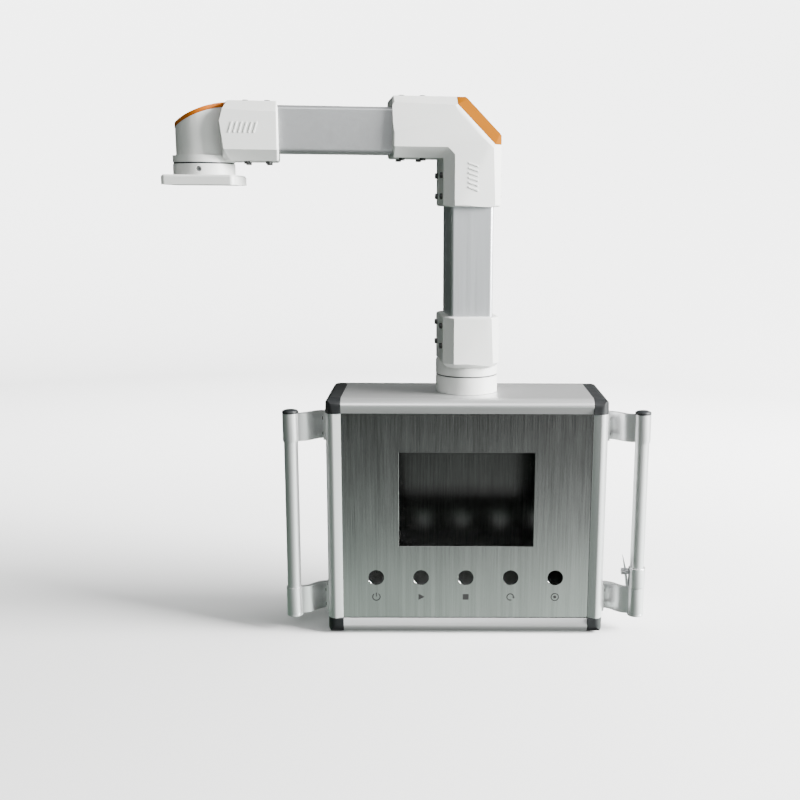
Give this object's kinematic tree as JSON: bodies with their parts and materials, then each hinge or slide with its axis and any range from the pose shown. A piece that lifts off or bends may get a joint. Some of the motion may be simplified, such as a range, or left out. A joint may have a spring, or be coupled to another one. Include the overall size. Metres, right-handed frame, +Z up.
{
  "type": "control box support arm",
  "caption": "Cantilever support arm with a round base flange, two grey rectangular tubes and an elbow, carrying an operator control box that swivels.",
  "frame": {"origin": "centre of the base flange's mounting face, on the first swivel's axis", "axes": "+Z up along both swivel axes, +X along the width of the control box towards its right side, +Y away from the operator. At rest the box faces -Y and the arm is turned 7.3 degrees about +Z from +X."},
  "size_m": [0.6698, 0.1708, 0.7565],
  "materials": {
    "cast_white": "satin powder coat on a casting",
    "cover_orange": "satin powder coat",
    "anodised_tube": "grey anodised",
    "anodised_frame": "fine matt anodised",
    "black_plastic": "fine moulded texture",
    "brushed_panel": "vertical brushed grain",
    "steel": "machined",
    "black_screw": "blackened steel",
    "bronze": "turned bearing bronze",
    "rubber": "matt seal",
    "sheet_door": "dark polished sheet with an upright grain"
  },
  "bodies": {
    "base": {"base_flange": "cast_white", "base_bush": "bronze", "base_thrust_washer": "black_plastic", "base_brake_screw": "steel"},
    "arm": {"base_head": "cast_white", "head_cover": "cover_orange", "base_journal": "steel", "base_retaining_ring": "steel", "horizontal_tube": "anodised_tube", "elbow": "cast_white", "elbow_cover": "cover_orange", "vertical_tube": "anodised_tube", "coupling_head": "cast_white", "box_journal": "steel", "box_retaining_ring": "steel"},
    "control_box": {"profile_top": "anodised_frame", "profile_bottom": "anodised_frame", "profile_left": "anodised_frame", "profile_right": "anodised_frame", "front_panel": "brushed_panel", "front_gasket": "rubber", "box_hub": "cast_white", "box_hub_bush": "bronze", "box_thrust_washer": "black_plastic", "box_brake_screw": "steel", "corner_top_left": "black_plastic", "corner_top_right": "black_plastic", "corner_bottom_left": "black_plastic", "corner_bottom_right": "black_plastic", "hub_screw_1": "steel", "hub_screw_2": "steel", "hub_screw_3": "steel", "hub_screw_4": "steel", "left_handle_bracket_lower": "anodised_frame", "left_handle_bracket_upper": "anodised_frame", "left_handle_tube": "anodised_frame", "left_handle_cap_lower": "anodised_frame", "left_handle_cap_upper": "black_plastic", "right_handle_bracket_lower": "anodised_frame", "right_handle_bracket_upper": "anodised_frame", "right_handle_tube": "anodised_frame", "right_handle_cap_lower": "anodised_frame", "right_handle_cap_upper": "black_plastic", "clip_collar": "anodised_frame", "clip_leaf": "steel", "lower_hinge_frame_leaf": "black_plastic", "lower_hinge_pin": "steel", "upper_hinge_frame_leaf": "black_plastic", "upper_hinge_pin": "steel"},
    "clip_knob": {"clip_knob": "steel"},
    "rear_door": {"rear_door": "sheet_door", "door_gasket": "rubber", "door_lock_body": "steel", "lower_hinge_door_leaf": "black_plastic", "upper_hinge_door_leaf": "black_plastic"},
    "door_lock": {"door_lock_core": "steel"}
  },
  "joints": [
    {"name": "base_swivel", "type": "hinge", "parent": "base", "child": "arm", "pos_m": [0, 0, 0.0275], "axis": [0, 0, 1], "range_deg": [-165, 165]},
    {"name": "box_swivel", "type": "hinge", "parent": "arm", "child": "control_box", "pos_m": [0.35907, 0.046, -0.265], "axis": [0, 0, 1], "range_deg": [-165, 165]},
    {"name": "door_hinge", "type": "hinge", "parent": "control_box", "child": "rear_door", "pos_m": [0.56407, 0.11665, -0.464], "axis": [0, 0, -1], "range_deg": [0, 110]},
    {"name": "lock_turn", "type": "hinge", "parent": "rear_door", "child": "door_lock", "pos_m": [0.19307, 0.116, -0.464], "axis": [0, -1, 0], "range_deg": [0, 90]},
    {"name": "clip_knob_turn", "type": "hinge", "parent": "control_box", "child": "clip_knob", "pos_m": [0.58907, -0.01, -0.548], "axis": [1, 0, 0], "continuous": true}
  ]
}
